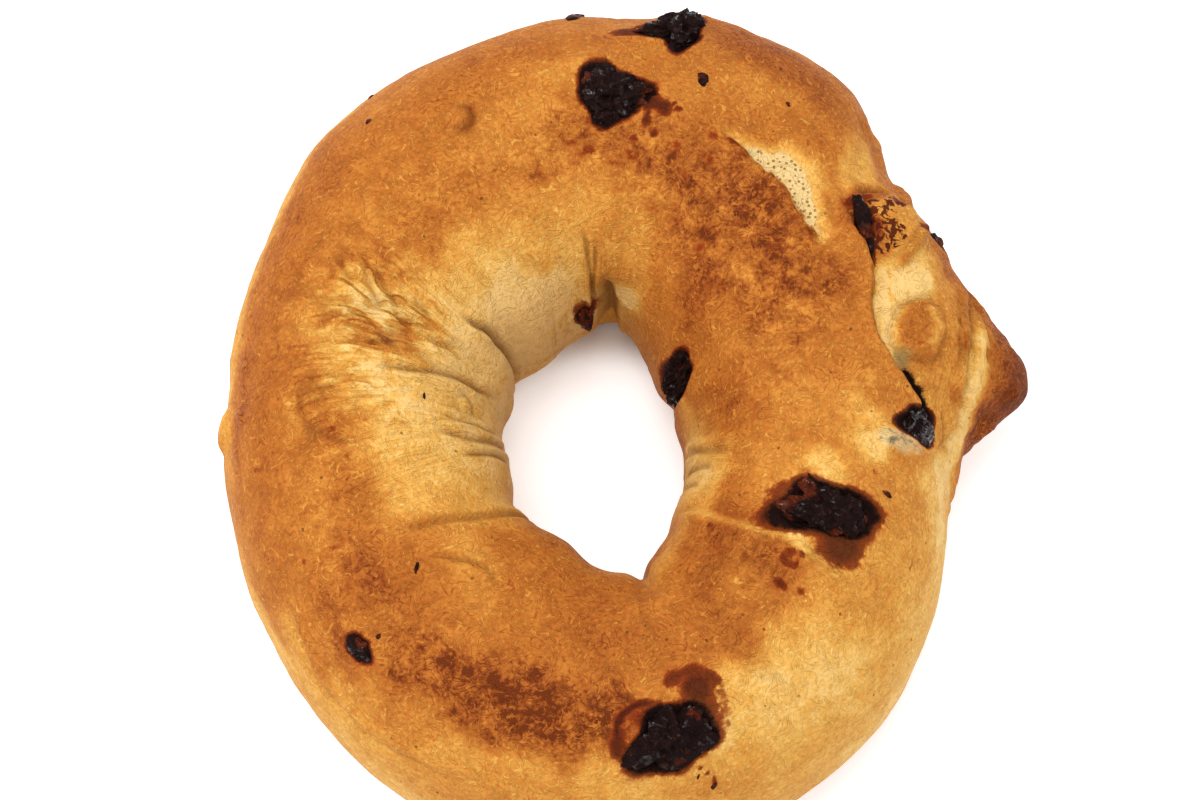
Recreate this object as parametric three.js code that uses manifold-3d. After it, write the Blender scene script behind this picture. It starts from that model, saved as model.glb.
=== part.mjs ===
// A hand-rolled blueberry bagel, lying on its flat baked base.
//
// The dough is one baked piece: a ring of rope whose two ends were lapped over each other and sealed, with the
// short blunt tail of the rope standing out at the side. The fruit pieces are separate solids seated in
// pockets that the dough baked around.
//
// Millimetres, +Z up. The origin is on the base, under the middle of the bagel's box.

import * as THREE from "three";
import { mergeVertices } from "three/addons/utils/BufferGeometryUtils.js";
import Module from "manifold-3d";

// Ring of dough. Both outlines are radii from the middle of the hole, anticlockwise from +X at even steps.
const OUTER_RADII = [
  47.5, 50.5, 54.5, 57.5, 62.5, 63, 61.5, 60.3, 59, 57, 53.3, 50.8,
  50, 50, 51, 52, 54, 55.5, 56.5, 56, 54.5, 53, 50.5, 48,
];
const HOLE_RADII = [12.2, 13.4, 15.5, 19.5, 16, 14, 12.5, 13.5, 15.5, 20, 18, 13.8];
const HEIGHT = 36;
const WIDEST_LEVEL = 0.37; // height of the widest level, as a share of HEIGHT
const CROWN_POWER = 2.15; // superellipse power of the section above the widest level
const BASE_POWER = 2.7; // and below it, where the dough sat on the tray
const BASE_FLATTENING = 1.06; // how far the lower curve would dip under the tray, as a share of its depth
const RING_STEPS = 84;
const SECTION_STEPS = 26;

// Tail: the sealed end of the rope, standing out of the ring's side.
const TAIL_ANGLE = 7; // degrees round the ring
const TAIL_LENGTH = 10;
const TAIL_SPREAD = { before: 6, after: 13 }; // degrees, on each side of the tip
const TAIL_BLUNTNESS = 2.4; // power of its outline: 2 is a bell, more is blunter
const TAIL_LEVEL = 15;
const TAIL_THICKNESS = 12;

// Fruit. angle is degrees round the ring; rise is degrees round the section, from the outer side over the
// crown (90) to the hole's wall (180). size is along the ring, over the section and through the crust.
// depth is how far the piece's middle lies under the crust.
const FRUIT = [
  { name: "berry_top_rim", angle: 77.5, rise: 52, size: [7, 7.5, 6], depth: 0.6, turn: 0 },
  { name: "berry_crown_back", angle: 86.5, rise: 87, size: [10, 9, 6], depth: 1.2, turn: 0 },
  { name: "berry_in_fold", angle: 32, rise: 67, size: [9, 5, 5], depth: 1.2, turn: 0 },
  { name: "berry_outer_edge", angle: 29, rise: 22, size: [3.6, 3.6, 3.4], depth: 0.5, turn: 0 },
  { name: "berry_at_seam", angle: 353.5, rise: 51, size: [6.4, 4.6, 4.8], depth: 0.8, turn: 0 },
  { name: "berry_large", angle: 328.5, rise: 86, size: [9, 13.5, 6], depth: 1.3, turn: 17 },
  { name: "berry_front", angle: 281, rise: 63, size: [14, 11, 7], depth: 1.3, turn: 10 },
  { name: "berry_small_front", angle: 229, rise: 54, size: [4.4, 4.4, 4], depth: 0.8, turn: 0 },
  { name: "berry_hole_rim", angle: 38, rise: 170, size: [6, 7, 6.4], depth: 0.2, turn: 0 },
  { name: "berry_hole_crease", angle: 98, rise: 174, size: [4.2, 4.2, 4], depth: 0.9, turn: 0 },
];
const FRUIT_GAP = 0.3; // clearance between a fruit piece and its pocket
const FRUIT_LUMPINESS = 0.07; // depth of the wrinkles, as a share of the radius

const wasm = await Module();
wasm.setup();

const crust = () => new THREE.MeshStandardMaterial({ color: 0xc57d3a, roughness: 0.62, metalness: 0 });
const fruitSkin = () => new THREE.MeshStandardMaterial({ color: 0x1d0f12, roughness: 0.35, metalness: 0 });

// Smooth closed curve through values at even angles (Catmull-Rom), read at an angle in radians.
function roundTheRing(values, angle) {
  const place = THREE.MathUtils.euclideanModulo(angle / (2 * Math.PI), 1) * values.length;
  const first = Math.floor(place);
  const share = place - first;
  const valueAt = (step) => values[(first + step + values.length) % values.length];
  const [p0, p1, p2, p3] = [-1, 0, 1, 2].map(valueAt);
  const slope = (p2 - p0) / 2;
  const bend = p0 - 2.5 * p1 + 2 * p2 - 0.5 * p3;
  const twist = 1.5 * (p1 - p2) + (p3 - p0) / 2;
  return p1 + slope * share + bend * share ** 2 + twist * share ** 3;
}

// The dough's section at a rise in radians: reach is how far out from its middle (-1 to 1), level is in mm.
function section(rise) {
  const out = Math.cos(rise);
  const up = Math.sin(rise);
  const power = 2 / (up >= 0 ? CROWN_POWER : BASE_POWER);
  const reach = Math.sign(out) * Math.abs(out) ** power;
  const lift = Math.abs(up) ** power;
  const level = up >= 0
    ? WIDEST_LEVEL + (1 - WIDEST_LEVEL) * lift
    : WIDEST_LEVEL * (1 - lift * BASE_FLATTENING);
  return { reach, level: HEIGHT * Math.max(0, level) };
}

// How far the rope's tail pushes the outer side out at an angle, a rise (both radians) and a level in mm.
function tail(angle, rise, level) {
  const degrees = THREE.MathUtils.radToDeg(angle);
  const turn = THREE.MathUtils.euclideanModulo(degrees - TAIL_ANGLE + 180, 360) - 180;
  const side = Math.sqrt(Math.max(0, Math.cos(rise)));
  const spread = turn < 0 ? TAIL_SPREAD.before : TAIL_SPREAD.after;
  const outline = Math.exp(-(Math.abs(turn / spread) ** TAIL_BLUNTNESS));
  return TAIL_LENGTH * side * outline * Math.exp(-(((level - TAIL_LEVEL) / TAIL_THICKNESS) ** 2));
}

// Point of the crust at an angle round the ring and a rise round its section, both in radians.
function crustPoint(angle, rise) {
  const outer = roundTheRing(OUTER_RADII, angle);
  const inner = roundTheRing(HOLE_RADII, angle);
  const { reach, level } = section(rise);
  const radius = (outer + inner) / 2 + reach * (outer - inner) / 2 + tail(angle, rise, level);
  return new THREE.Vector3(radius * Math.cos(angle), radius * Math.sin(angle), level);
}

// Axes on the crust at a point: along the ring, over the section, and out of the crust.
function crustAxes(angle, rise) {
  const step = 0.02;
  const along = crustPoint(angle + step, rise).sub(crustPoint(angle - step, rise)).normalize();
  const over = crustPoint(angle, rise + step).sub(crustPoint(angle, rise - step));
  const out = along.clone().cross(over).normalize();
  over.crossVectors(out, along).normalize();
  return new THREE.Matrix4().makeBasis(along, over, out);
}

// The ring: a torus grid whose points are moved onto the crust.
function ringGeometry() {
  const geometry = new THREE.TorusGeometry(1, 0.5, SECTION_STEPS, RING_STEPS);
  const position = geometry.attributes.position;
  const row = RING_STEPS + 1;
  for (let index = 0; index < position.count; index++) {
    const angle = ((index % row) % RING_STEPS) / RING_STEPS * 2 * Math.PI;
    const rise = (Math.floor(index / row) % SECTION_STEPS) / SECTION_STEPS * 2 * Math.PI;
    position.setXYZ(index, ...crustPoint(angle, rise));
  }
  return geometry;
}

// A fruit piece: an ellipsoid with a few shallow wrinkles, grown by a margin to cut its pocket.
function fruitGeometry({ size, turn }, margin) {
  const geometry = new THREE.SphereGeometry(1, 12, 9);
  const position = geometry.attributes.position;
  const point = new THREE.Vector3();
  for (let index = 0; index < position.count; index++) {
    point.fromBufferAttribute(position, index);
    const wrinkle = Math.sin(4 * point.x + 2 * point.z) * Math.cos(3 * point.y - point.x);
    point.multiplyScalar(1 + FRUIT_LUMPINESS * wrinkle);
    position.setXYZ(index, ...point);
  }
  geometry.scale(...size.map((across) => across / 2 + margin));
  geometry.rotateZ(THREE.MathUtils.degToRad(turn));
  return geometry;
}

// Where a fruit piece sits: on the crust's own axes, sunk by its depth.
function fruitPlace({ angle, rise, depth }) {
  const [round, over] = [angle, rise].map(THREE.MathUtils.degToRad);
  const place = crustAxes(round, over);
  const out = new THREE.Vector3().setFromMatrixColumn(place, 2);
  return place.setPosition(crustPoint(round, over).addScaledVector(out, -depth));
}

function toSolid(geometry) {
  const bare = geometry.clone().deleteAttribute("normal").deleteAttribute("uv");
  const merged = mergeVertices(bare, 1e-4);
  return new wasm.Manifold(new wasm.Mesh({
    numProp: 3,
    vertProperties: merged.attributes.position.array,
    triVerts: new Uint32Array(merged.index.array),
  }));
}

function toGeometry(solid) {
  const mesh = solid.getMesh();
  const geometry = new THREE.BufferGeometry();
  geometry.setAttribute("position", new THREE.BufferAttribute(mesh.vertProperties, 3));
  geometry.setIndex(new THREE.BufferAttribute(mesh.triVerts, 1));
  geometry.computeVertexNormals();
  return geometry;
}

function fruitMesh(fruit) {
  const mesh = new THREE.Mesh(fruitGeometry(fruit, 0), fruitSkin());
  mesh.name = fruit.name;
  mesh.applyMatrix4(fruitPlace(fruit));
  return mesh;
}

// The dough: the ring with a pocket for each fruit piece.
function breadMesh() {
  let dough = toSolid(ringGeometry());
  for (const fruit of FRUIT) {
    const pocket = fruitGeometry(fruit, FRUIT_GAP).applyMatrix4(fruitPlace(fruit));
    dough = dough.subtract(toSolid(pocket));
  }
  const mesh = new THREE.Mesh(toGeometry(dough), crust());
  mesh.name = "bread_ring";
  return mesh;
}

// Everything is made round the middle of the hole, then moved so that the box's middle is over the origin.
function bagel() {
  const pieces = new THREE.Group();
  pieces.add(breadMesh(), ...FRUIT.map(fruitMesh));
  const middle = new THREE.Box3().setFromObject(pieces, true).getCenter(new THREE.Vector3());
  pieces.position.set(-middle.x, -middle.y, 0);
  return new THREE.Group().add(pieces);
}

export default bagel();
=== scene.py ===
"""A hand-rolled blueberry bagel, baked golden with red-brown patches, on a pale floor.

The dough is one surface of two parameters: the angle round the ring and the rise round its section. Folds,
tears, blisters and hollows are added to it as arrays of lift along the crust's normal, and the bake, the
juice and the bare crumb as attributes that the crust's material reads. Lengths are in millimetres until a
mesh is written, in metres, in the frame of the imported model.
"""

import math

import bpy
import numpy as np
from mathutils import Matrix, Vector


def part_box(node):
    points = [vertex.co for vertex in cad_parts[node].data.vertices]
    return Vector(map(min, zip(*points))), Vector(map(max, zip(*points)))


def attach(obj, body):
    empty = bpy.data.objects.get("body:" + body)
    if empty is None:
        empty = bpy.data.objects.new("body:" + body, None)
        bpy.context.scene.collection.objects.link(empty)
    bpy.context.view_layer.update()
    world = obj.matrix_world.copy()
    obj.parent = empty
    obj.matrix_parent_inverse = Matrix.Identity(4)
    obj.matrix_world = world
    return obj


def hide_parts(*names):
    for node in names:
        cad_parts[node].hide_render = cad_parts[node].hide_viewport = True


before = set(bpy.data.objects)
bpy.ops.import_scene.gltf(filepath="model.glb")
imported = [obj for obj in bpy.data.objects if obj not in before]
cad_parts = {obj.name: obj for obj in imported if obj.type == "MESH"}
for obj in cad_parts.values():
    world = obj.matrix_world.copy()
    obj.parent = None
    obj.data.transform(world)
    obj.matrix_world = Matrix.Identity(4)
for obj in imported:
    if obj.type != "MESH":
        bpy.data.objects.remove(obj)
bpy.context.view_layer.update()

MM = 0.001

# ---------------------------------------------------------------------------------------------------------
# The dough's main shape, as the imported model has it
# ---------------------------------------------------------------------------------------------------------

bread_low, bread_high = (np.array(corner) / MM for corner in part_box("bread_ring"))
HEIGHT = bread_high[2]
BREAD_MIDDLE = (bread_low[:2] + bread_high[:2]) / 2

# Radii from the middle of the hole, anticlockwise from +X at even steps.
OUTER_RADII = (
    47.5, 50.5, 54.5, 57.5, 62.5, 63, 61.5, 60.3, 59, 57, 53.3, 50.8,
    50, 50, 51, 52, 54, 55.5, 56.5, 56, 54.5, 53, 50.5, 48,
)
HOLE_RADII = (12.2, 13.4, 15.5, 19.5, 16, 14, 12.5, 13.5, 15.5, 20, 18, 13.8)
WIDEST_LEVEL = 0.37  # height of the widest level, as a share of HEIGHT
CROWN_POWER = 2.15
BASE_POWER = 2.7
BASE_FLATTENING = 1.06

TAIL_ANGLE = 7
TAIL_LENGTH = 10
TAIL_SPREAD_BEFORE = 6
TAIL_SPREAD_AFTER = 13
TAIL_BLUNTNESS = 2.4
TAIL_LEVEL = 15
TAIL_THICKNESS = 12

RING_STEPS = 500
SECTION_STEPS = 198
SEAM_ANGLE = 25  # where the ring's steps are closest together
CROWDING = 0.28  # how much closer than the average they are there, and the section's steps are at its crown


def round_the_ring(values, angle):
    """A closed Catmull-Rom curve through values at even angles: a cubic between each two of them."""
    values = np.asarray(values, float)
    place = np.mod(angle / (2 * np.pi), 1) * len(values)
    first = np.floor(place).astype(int)
    share = place - first
    before, start, end, after = (values[(first + step) % len(values)] for step in (-1, 0, 1, 2))
    slope = (end - before) / 2
    bend = before - 2.5 * start + 2 * end - 0.5 * after
    twist = 1.5 * (start - end) + (after - before) / 2
    return start + slope * share + bend * share**2 + twist * share**3


def turn_between(angle, degrees):
    """The signed turn from a direction in degrees to each angle in radians, in degrees."""
    return np.mod(np.degrees(angle) - degrees + 180, 360) - 180


def plain_crust(angle, rise):
    """The dough's main shape: a superellipse section, flat where it sat on the tray, swept round the ring.

    The section reaches from the hole's radius to the outer radius, and the rope's tail is a blunt bell in
    angle and level added to the outer side.
    """
    outer = round_the_ring(OUTER_RADII, angle)
    inner = round_the_ring(HOLE_RADII, angle)
    out, up = np.cos(rise), np.sin(rise)
    power = 2 / np.where(up >= 0, CROWN_POWER, BASE_POWER)
    reach = np.sign(out) * np.abs(out) ** power
    lift = np.abs(up) ** power
    crown = WIDEST_LEVEL + (1 - WIDEST_LEVEL) * lift
    base = np.maximum(0, WIDEST_LEVEL * (1 - lift * BASE_FLATTENING))
    level = HEIGHT * np.where(up >= 0, crown, base)
    turn = turn_between(angle, TAIL_ANGLE)
    spread = np.where(turn < 0, TAIL_SPREAD_BEFORE, TAIL_SPREAD_AFTER)
    stub = np.exp(-np.abs(turn / spread) ** TAIL_BLUNTNESS - ((level - TAIL_LEVEL) / TAIL_THICKNESS) ** 2)
    tail = TAIL_LENGTH * stub * np.sqrt(np.maximum(0, out))
    radius = (outer + inner) / 2 + reach * (outer - inner) / 2 + tail
    return np.stack([radius * np.cos(angle), radius * np.sin(angle), level], axis=-1)


def plain_middle():
    """The middle of the plain ring's box, seen from above, measured from the middle of the hole."""
    angle, rise = np.meshgrid(np.linspace(0, 2 * np.pi, 720), np.linspace(-1, 1, 41), indexing="ij")
    points = plain_crust(angle, rise)[..., :2].reshape(-1, 2)
    return (points.min(0) + points.max(0)) / 2


RING_MIDDLE = np.append(BREAD_MIDDLE - plain_middle(), 0)


def crust_point(angle, rise):
    """A point of the plain crust in the model's frame, for angles in degrees."""
    return plain_crust(np.radians(angle), np.radians(rise)) + RING_MIDDLE


def crust_axes(angle, rise):
    """Unit vectors along the ring, over the section and out of the crust, from differences of the shape."""
    step = 1.0
    along = crust_point(angle + step, rise) - crust_point(angle - step, rise)
    over = crust_point(angle, rise + step) - crust_point(angle, rise - step)
    along = along / np.linalg.norm(along, axis=-1, keepdims=True)
    out = np.cross(along, over)
    out = out / np.linalg.norm(out, axis=-1, keepdims=True)
    return along, np.cross(out, along), out


# ---------------------------------------------------------------------------------------------------------
# Noise and soft edges
# ---------------------------------------------------------------------------------------------------------


def ramp(low, high, value):
    """A smooth step from 0 at low to 1 at high: three times the square less twice the cube."""
    share = np.clip((value - low) / (high - low), 0, 1)
    return share * share * (3 - 2 * share)


def bell(value, width, middle=0.0):
    """A bell, 1 at its middle: e to the minus square of the distance from the middle in widths."""
    return np.exp(-(((value - middle) / width) ** 2))


def eased_ends(share, start, end):
    """1 along a line, with a smooth step up over its first share and down over its last."""
    return ramp(0, start, share) * ramp(0, end, 1 - share)


def lattice(corner, seed):
    """An even random number from 0 to 1 for each whole-number corner, by mixing its three counts."""
    x, y, z = (corner[..., axis].astype(np.uint32) for axis in range(3))
    mixed = x * np.uint32(73856093) ^ y * np.uint32(19349663) ^ z * np.uint32(83492791)
    mixed = mixed ^ np.uint32(seed * 374761393 & 0xFFFFFFFF)
    mixed = (mixed ^ (mixed >> np.uint32(13))) * np.uint32(1274126177)
    return ((mixed ^ (mixed >> np.uint32(16))) & np.uint32(0xFFFF)) / 65535.0


def lumps(points, size, seed, octaves=3):
    """Smooth noise from -1 to 1 whose lumps are about size across; each octave halves size and depth."""
    total, depth, whole = 0.0, 1.0, 0.0
    for octave in range(octaves):
        scaled = points / size * 2**octave + 17.3 * octave + 400
        corner = np.floor(scaled).astype(np.int64)
        share = scaled - corner
        share = share * share * (3 - 2 * share)
        value = 0.0
        for dx in (0, 1):
            for dy in (0, 1):
                for dz in (0, 1):
                    step = np.array([dx, dy, dz])
                    weight = np.prod(np.where(step == 1, share, 1 - share), axis=-1)
                    value = value + weight * lattice(corner + step, seed + octave)
        total = total + depth * (2 * value - 1)
        whole += depth
        depth *= 0.5
    return total / whole


def crest(noise, sharpness):
    """Folded noise: 1 along the lines where the noise is 0, less sharpness times its size on both sides."""
    return 1 - abs(noise) * sharpness


def lobed_outline(direction, lobes, seed):
    """How far an outline reaches in each direction, as a share of its oval.

    It is one, plus small cosines of two to six times the direction with random starts, plus a bump or a
    notch for each lobe (direction in degrees, height, sharpness): height * exp(sharpness * (cosine - 1)).
    """
    random = np.random.default_rng(seed)
    outline = 1.0
    for count in range(2, 7):
        outline = outline + 0.07 / count**0.4 * np.cos(count * direction + random.uniform(0, 7))
    for degrees, height, sharpness in lobes:
        outline = outline + height * np.exp(sharpness * (np.cos(direction - math.radians(degrees)) - 1))
    return outline


# ---------------------------------------------------------------------------------------------------------
# The crust as a grid that features are added to
# ---------------------------------------------------------------------------------------------------------

SPOT_DEPTH = 6  # mm above or below its place beyond which a spot leaves the crust alone


class Crust:
    """The dough's grid: its points, its lift along the normal, and its named tones."""

    def __init__(self):
        """Steps that crowd together at the seam and at the crown: a sine is taken off each even step."""
        step = np.linspace(0, 2 * np.pi, RING_STEPS, endpoint=False)
        angle = step - CROWDING * np.sin(step - math.radians(SEAM_ANGLE))
        step = np.linspace(0, 2 * np.pi, SECTION_STEPS, endpoint=False)
        rise = step + CROWDING * np.sin(step) - np.pi / 2
        self.angle, self.rise = np.meshgrid(angle, rise, indexing="ij")
        self.plain = plain_crust(self.angle, self.rise) + RING_MIDDLE
        degrees = np.degrees(self.angle), np.degrees(self.rise)
        self.along, self.over, self.out = crust_axes(*degrees)
        self.uneven_angle = self.angle + math.radians(5) * self.wander(81)
        self.uneven_rise = self.rise + math.radians(9) * self.wander(91)
        self.lift = np.zeros(self.angle.shape)
        self.tones = {}

    def wander(self, seed):
        """How far soft edges wander, from broad lumps and half as much of fine ones."""
        return lumps(self.plain, 8, seed, 2) + 0.5 * lumps(self.plain, 2.2, seed + 1, 2)

    def tone(self, name, start=0.0):
        """The named tone, made with a start value the first time it is asked for."""
        return self.tones.setdefault(name, np.full(self.angle.shape, float(start)))

    def bake(self, weight, value):
        """Moves the bake towards a value from 0, pale, to 1, dark brown, by a weight from 0 to 1."""
        tone = self.tone("bake")
        tone += (value - tone) * weight

    def raise_tone(self, name, value):
        """Raises a tone to a value wherever it is lower."""
        tone = self.tone(name)
        np.maximum(tone, value, out=tone)

    def near(self, angle, rise):
        """Offsets in mm from a place on the crust: along the ring, over the section and out."""
        away = self.plain - crust_point(angle, rise)
        return [np.sum(away * axis, axis=-1) for axis in crust_axes(angle, rise)]

    def patch(self, angle, rise, half_angle, half_rise, soft=0.45):
        """1 inside an oval of half_angle by half_rise degrees, 0 outside, with a soft and uneven edge."""
        across = turn_between(self.uneven_angle, angle) / half_angle
        up = turn_between(self.uneven_rise, rise) / half_rise
        return 1 - ramp(1 - soft, 1 + soft, np.hypot(across, up))

    def spot(self, angle, rise, half_along, half_over, turn=0, lobes=None, seed=0):
        """Distance from a place as a share of an oval's half sizes in mm; far away it is infinite."""
        along, over, out = self.near(angle, rise)
        turn = math.radians(turn)
        u = (along * math.cos(turn) + over * math.sin(turn)) / half_along
        v = (over * math.cos(turn) - along * math.sin(turn)) / half_over
        distance = np.hypot(u, v)
        if lobes is not None:
            distance = distance / lobed_outline(np.arctan2(v, u), lobes, seed)
        return np.where(np.abs(out) < SPOT_DEPTH, distance, np.inf)

    def dab(self, angle, rise, half_along, half_over, inner=0.5, outer=1.2, turn=0):
        """1 inside an oval in mm, 0 outside: a smooth step down between two shares of its size."""
        return 1 - ramp(inner, outer, self.spot(angle, rise, half_along, half_over, turn))

    def trail(self, places, reach):
        """A smooth line over the crust through places given as (angle, rise) in degrees.

        Returns, for every point of the grid, the distance to the line, the signed distance across it
        (positive to its left, seen from outside and walking from the first place to the last), and how far
        along it the nearest point is, from 0 to 1. Beyond reach the distance is infinite.
        """
        line = crust_point(*smooth_line(places, 10).T)
        out = crust_axes(*smooth_line(places, 10).T)[2]
        distance = np.full(self.angle.shape, np.inf)
        across = np.zeros(self.angle.shape)
        share = np.zeros(self.angle.shape)
        close = np.all((self.plain > line.min(0) - reach) & (self.plain < line.max(0) + reach), axis=-1)
        points = self.plain[close]
        best = np.full(len(points), np.inf)
        side, progress = np.zeros(len(points)), np.zeros(len(points))
        for index in range(len(line) - 1):
            start, run = line[index], line[index + 1] - line[index]
            length = run @ run
            part = np.clip((points - start) @ run / length, 0, 1)
            away = points - start - part[:, None] * run
            far = np.linalg.norm(away, axis=-1)
            left = np.cross(out[index], run) / math.sqrt(length)
            nearer = far < best
            best = np.where(nearer, far, best)
            side = np.where(nearer, away @ left, side)
            progress = np.where(nearer, (index + part) / (len(line) - 1), progress)
        distance[close], across[close], share[close] = best, side, progress
        distance[distance > reach] = np.inf
        return distance, across, share

    def lift_at(self, angle, rise):
        """The lift of the grid's point that is nearest to a place."""
        away = np.linalg.norm(self.plain - crust_point(angle, rise), axis=-1)
        return self.lift.flat[np.argmin(away)]

    def crease(self, places, width, depth, lips=0.4, taper=0.2, dark=1.0):
        """A pinched fold: a narrow bell pressed in along a trail, with a low lip on each side of it."""
        distance, _, share = self.trail(places, 6 * width + 1)
        fade = eased_ends(share, taper, taper)
        groove = bell(distance, width)
        lip = bell(distance, 1.2 * width, 2.1 * width)
        self.lift += depth * fade * (lips * lip - groove)
        # Painted shade along the fold, as strong as dark.
        self.raise_tone("fold", dark * fade * bell(distance, 0.75 * width))

    def finish(self):
        """The grid's final points: the lift is laid along the normal, and fades out towards the flat base."""
        held = ramp(0, 3, self.plain[..., 2])
        points = self.plain + (self.lift * held)[..., None] * self.out
        points[..., 2] = np.maximum(points[..., 2], 0)
        return points


def smooth_line(places, steps):
    """An open Catmull-Rom curve through places, with steps points to each span."""
    places = np.asarray(places, float)
    ends = np.concatenate([[2 * places[0] - places[1]], places, [2 * places[-1] - places[-2]]])
    share = np.linspace(0, 1, steps, endpoint=False)[:, None]
    spans = []
    for before, start, end, after in zip(ends, ends[1:], ends[2:], ends[3:]):
        bend = 2 * before - 5 * start + 4 * end - after
        twist = 3 * (start - end) + after - before
        spans.append(start + ((end - before) * share + bend * share**2 + twist * share**3) / 2)
    return np.concatenate([*spans, places[-1:]])


# ---------------------------------------------------------------------------------------------------------
# Features of the dough
# ---------------------------------------------------------------------------------------------------------

# Fruit: place on the crust (angle, rise), size along the ring, over the section and out, and turn in degrees.
# caked is how far dark pulp sticks to the crust round it, in mm, halo how far the red-brown juice spread, and
# wet how much more of it shines.
FRUIT = {
    "berry_top_rim": dict(at=(77.8, 52), size=(5.4, 9.6, 5.6), turn=0, caked=0.1, halo=0.6,
                          lobes=((12, 1.3, 18), (95, 0.2, 8), (235, 0.15, 8))),
    "berry_crown_back": dict(at=(88.3, 88), size=(7.2, 8.8, 4.6), turn=0, caked=0.4, halo=0.5,
                             lobes=((178, 0.7, 22), (150, 0.3, 16), (300, 0.15, 8), (60, 0.1, 12))),
    "berry_in_fold": dict(at=(32.8, 70.5), size=(6.8, 2.2, 2.6), turn=-14, caked=0.0, halo=0.5,
                          lobes=((198, 0.4, 7), (14, 0.2, 9), (240, -0.2, 9))),
    "berry_outer_edge": dict(at=(28.5, 28), size=(2.8, 4.4, 2.0), turn=0, caked=0.0, halo=0.5, lobes=()),
    "berry_at_seam": dict(at=(354, 49.5), size=(5.2, 5.6, 4.4), turn=0, caked=0.0, halo=0.3, wet=0.9,
                          lobes=((97, 0.75, 12), (330, 0.15, 8))),
    "berry_large": dict(at=(329.6, 84.5), size=(7.0, 9.4, 4.8), turn=0, caked=0.5, halo=1.1,
                        lobes=((126, 0.8, 9), (292, 0.2, 10), (62, 0.1, 10), (345, -0.1, 8))),
    "berry_front": dict(at=(281, 62), size=(10.2, 8.0, 4.8), turn=0, caked=0.7, halo=0.9,
                        lobes=((146, -0.18, 7), (196, 0.18, 6), (322, 0.12, 8), (275, -0.12, 7),
                               (40, 0.15, 8))),
    "berry_small_front": dict(at=(229, 54), size=(3.2, 3.0, 2.6), turn=0, caked=0.3, halo=0.5,
                              lobes=((0, 0.35, 7), (190, 0.25, 9), (100, -0.15, 8))),
    "berry_hole_rim": dict(at=(31, 166.5), size=(5.6, 9.6, 5.6), turn=0, caked=0.2, halo=0.8,
                           lobes=((60, 0.2, 14), (120, 0.15, 16), (250, 0.2, 14), (300, 0.15, 14))),
    "berry_hole_crease": dict(at=(97, 172), size=(3.0, 3.8, 3.0), turn=0, caked=0.0, halo=1.0,
                              lobes=((100, 0.5, 7),)),
}

FRUIT_SINK = 0.12  # how far a fruit piece's middle lies under the crust, as a share of its thickness

# Where the fruit's pulp is red-brown instead of black: (angle, rise, radius in mm).
REDDENED = (
    (328, 101, 4.4), (332, 69, 1.5), (322, 98, 1.4), (282, 55, 2.0), (288.5, 61, 1.4), (274, 53, 1.5),
    (79, 90, 3.4), (92, 82, 1.4), (85, 55, 2.8), (77, 33, 1.2), (31.5, 71.5, 2.0), (28, 26, 2.2),
    (31, 161, 2.4), (97, 172, 6.5), (81, 88, 2.6), (281, 63, 1.2), (29, 170, 1.6), (33, 163, 1.6),
    (285, 67, 1.6), (326, 80, 1.8), (229, 57, 1.3), (352, 46, 1.0), (87, 77, 1.5),
)

# Flecks of fruit skin on the crust: (angle, rise, width along the ring, width over the section).
FLECKS = (
    (72, 77, 1.5, 1.6), (93.5, 35, 3.2, 2.6), (124, 33, 1.4, 1.1), (128, 54, 0.7, 0.8), (58, 68, 0.9, 0.6),
    (228, 90, 0.5, 1.5), (183, 117, 0.4, 0.8), (86, 166, 0.5, 0.5), (338, 64, 0.8, 1.5),
    (231, 63, 0.5, 0.6), (353, 45, 0.7, 1.0), (15.5, 48, 0.4, 1.0), (286, 37, 0.5, 1.0),
    (284, 44, 0.4, 0.8),
)

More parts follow.
